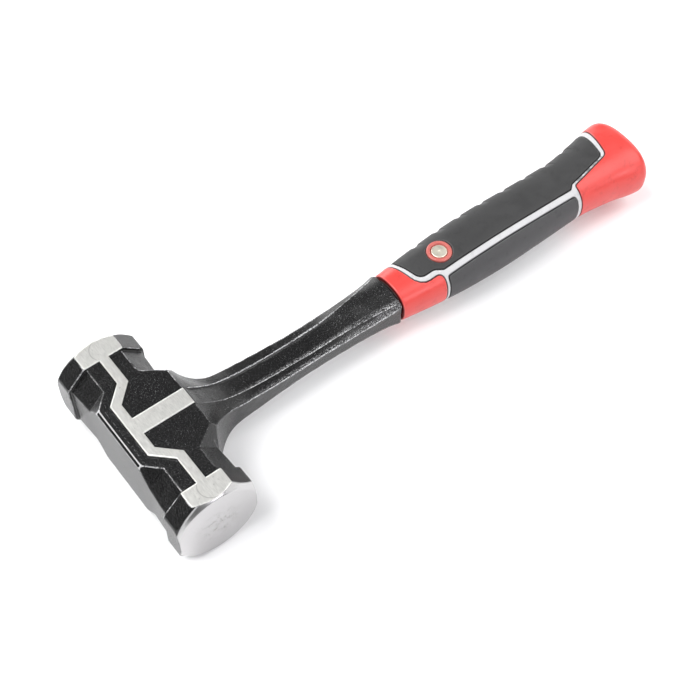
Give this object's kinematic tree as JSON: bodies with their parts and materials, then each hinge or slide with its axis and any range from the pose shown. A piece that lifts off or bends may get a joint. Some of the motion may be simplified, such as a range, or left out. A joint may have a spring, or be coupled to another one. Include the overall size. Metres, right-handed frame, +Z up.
{
  "type": "lump hammer",
  "caption": "Lump hammer with an octagonal double-faced head forged in one piece with its flat shank and tang, and a moulded oval grip held by a rivet through the tang.",
  "frame": {"origin": "centre of the footprint, on the surface that the hammer lies on", "axes": "+X along the handle from the head to the butt, +Y along the striking axis, +Z up, square to the head's cheeks"},
  "size_m": [0.2736, 0.09, 0.0378],
  "materials": {
    "forged_steel": "textured black paint over drop-forged steel, with the relief, the collar pads and the striking faces ground bright",
    "white_core": "satin moulded plastic",
    "red_moulding": "smooth semi-gloss moulded plastic",
    "black_rubber": "matte soft-touch rubber",
    "palm_rubber": "matte soft-touch rubber",
    "rivet_steel": "dull plated steel",
    "ring_red": "semi-gloss moulded plastic"
  },
  "bodies": {
    "root": {"forging": "forged_steel", "grip_core": "white_core", "front_collar": "red_moulding", "grip_main": "black_rubber", "palm_panel": "palm_rubber", "butt_cap": "red_moulding", "rivet": "rivet_steel", "rivet_ring_top": "ring_red", "rivet_ring_bottom": "ring_red"}
  },
  "joints": []
}
